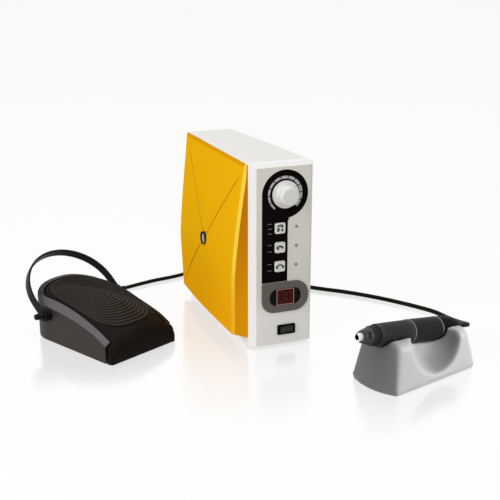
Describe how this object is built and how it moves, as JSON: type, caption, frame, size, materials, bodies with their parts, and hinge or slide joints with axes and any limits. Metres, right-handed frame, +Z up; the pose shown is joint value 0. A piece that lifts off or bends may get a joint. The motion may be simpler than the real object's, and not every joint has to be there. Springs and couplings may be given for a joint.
{
  "type": "dental micromotor",
  "caption": "Desk-top dental micromotor: tower control unit with speed knob, keys and display, a motor handpiece on its cradle and a foot pedal with carrying handle.",
  "frame": {"origin": "centre of the control unit's footprint on the table", "axes": "+X to the right across the control unit's front, +Y to its rear, +Z up from the table"},
  "size_m": [0.4849, 0.5152, 0.213],
  "materials": {
    "white_shell": "satin",
    "yellow_cover": "satin gloss",
    "bright_metal": "polished",
    "black_gloss": "gloss",
    "grey_plastic": "satin",
    "red_window": "gloss",
    "white_key": "satin",
    "lamp": "clear",
    "circuit_board": "satin",
    "dark_switch": "satin",
    "steel": "satin",
    "iron": "matt",
    "copper": "enamelled",
    "dark_metal": "satin",
    "black_plastic": "satin",
    "grey_cradle": "satin",
    "pedal_grey": "satin",
    "pedal_black": "satin",
    "rubber": "matt",
    "cord_rubber": "satin"
  },
  "bodies": {
    "root": {"main_shell": "white_shell", "front_bezel": "white_shell", "rear_panel": "white_shell", "rubber_feet": "rubber", "side_cover": "yellow_cover", "cover_screw": "bright_metal", "panel_overlay": "black_gloss", "display_surround": "grey_plastic", "display_window": "red_window", "display_module": "grey_plastic", "front_board": "circuit_board", "indicator_lamps": "lamp", "potentiometer": "steel", "rocker_housing": "black_gloss", "chassis": "steel", "transformer": "iron", "transformer_winding": "copper", "main_board": "circuit_board", "mains_inlet": "black_plastic", "handpiece_socket": "steel", "pedal_socket": "steel", "cradle": "grey_cradle", "pedal_base": "pedal_grey", "tread_pin": "steel", "tread_spring": "steel", "pedal_switch": "black_plastic", "handle_screws": "black_plastic", "pedal_boot": "rubber", "pedal_cord": "cord_rubber", "pedal_coil": "cord_rubber", "pedal_lead": "cord_rubber", "pedal_plug": "black_plastic", "handpiece_cord": "cord_rubber", "handpiece_coil": "cord_rubber", "handpiece_lead": "cord_rubber", "handpiece_plug": "black_plastic", "cord_ties": "rubber"},
    "knob": {"speed_knob": "white_key", "knob_shaft": "steel"},
    "key_upper": {"upper_key": "white_key"},
    "key_middle": {"middle_key": "white_key"},
    "key_lower": {"lower_key": "white_key"},
    "rocker": {"power_rocker": "dark_switch"},
    "handpiece": {"nose_cone": "dark_metal", "front_grip": "dark_metal", "trim_rings": "bright_metal", "motor_sleeve": "dark_metal", "motor_magnet": "iron", "brushes": "black_plastic", "tail_cap": "black_plastic", "handpiece_boot": "rubber", "spindle_bearings": "steel"},
    "chuck": {"chuck_ring": "dark_metal"},
    "spindle_body": {"collet": "bright_metal", "spindle": "steel", "motor_rotor": "copper"},
    "tread": {"pedal_tread": "pedal_black", "tread_mat": "rubber"},
    "handle": {"carry_handle": "black_plastic"}
  },
  "joints": [
    {"name": "speed_knob", "type": "hinge", "parent": "root", "child": "knob", "pos_m": [0.0035, -0.105, 0.17807], "axis": [0, 1, 0], "range_deg": [0, 290]},
    {"name": "upper_key", "type": "slide", "parent": "root", "child": "key_upper", "axis": [0, 1, 0], "range_m": [0, 0.0008], "stiffness_N_per_m": 800, "springref_m": -0.0008},
    {"name": "middle_key", "type": "slide", "parent": "root", "child": "key_middle", "axis": [0, 1, 0], "range_m": [0, 0.0008], "stiffness_N_per_m": 800, "springref_m": -0.0008},
    {"name": "lower_key", "type": "slide", "parent": "root", "child": "key_lower", "axis": [0, 1, 0], "range_m": [0, 0.0008], "stiffness_N_per_m": 800, "springref_m": -0.0008},
    {"name": "power_rocker", "type": "hinge", "parent": "root", "child": "rocker", "pos_m": [0.0062, -0.1028, 0.0194], "axis": [0, 0, -1], "range_deg": [0, 14]},
    {"name": "pedal_press", "type": "hinge", "parent": "root", "child": "tread", "pos_m": [-0.15848, -0.05469, 0.009], "axis": [-0.8949, -0.4462, 0], "range_deg": [0, 3], "stiffness_Nm_per_rad": 12, "springref_deg": -8.02, "deforming": ["tread_spring"]},
    {"name": "carry_handle", "type": "hinge", "parent": "root", "child": "handle", "pos_m": [-0.19953, 0.02764, 0.034], "axis": [0.8949, 0.4462, 0], "range_deg": [-30, 110]},
    {"name": "lift_handpiece", "type": "slide", "parent": "root", "child": "handpiece", "axis": [0, 0, 1], "range_m": [0, 0.12]},
    {"name": "chuck_ring", "type": "hinge", "parent": "handpiece", "child": "chuck", "pos_m": [0.04616, -0.24258, 0.05778], "axis": [0.9432, 0.2884, -0.165], "range_deg": [0, 45]},
    {"name": "spindle", "type": "hinge", "parent": "handpiece", "child": "spindle_body", "pos_m": [0.04616, -0.24258, 0.05778], "axis": [0.9432, 0.2884, -0.165], "continuous": true}
  ]
}
